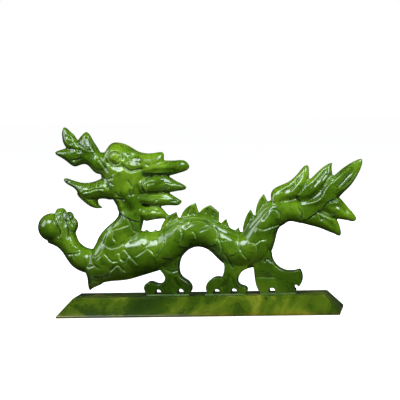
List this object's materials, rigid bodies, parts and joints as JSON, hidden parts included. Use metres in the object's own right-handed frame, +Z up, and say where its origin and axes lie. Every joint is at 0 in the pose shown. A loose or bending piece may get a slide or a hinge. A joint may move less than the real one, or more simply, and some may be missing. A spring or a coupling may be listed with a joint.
{
  "type": "jade dragon figurine",
  "caption": "Carved green jade dragon walking on a low bevelled jade base, one raised claw holding a pearl, for display on a shelf or desk.",
  "frame": {"origin": "centre of the base's flat underside", "axes": "+Z up from the underside, +X along the slab from the pearl to the tip of the tail, +Y through the slab, away from the side that is shown"},
  "size_m": [0.2015, 0.048, 0.1159],
  "materials": {
    "dragon_jade": "polished",
    "base_jade": "polished",
    "adhesive": "clear set adhesive over green stone"
  },
  "bodies": {
    "root": {"base": "base_jade", "dragon": "dragon_jade", "front_foot_adhesive": "adhesive", "middle_foot_adhesive": "adhesive", "rear_foot_adhesive": "adhesive"}
  },
  "joints": []
}
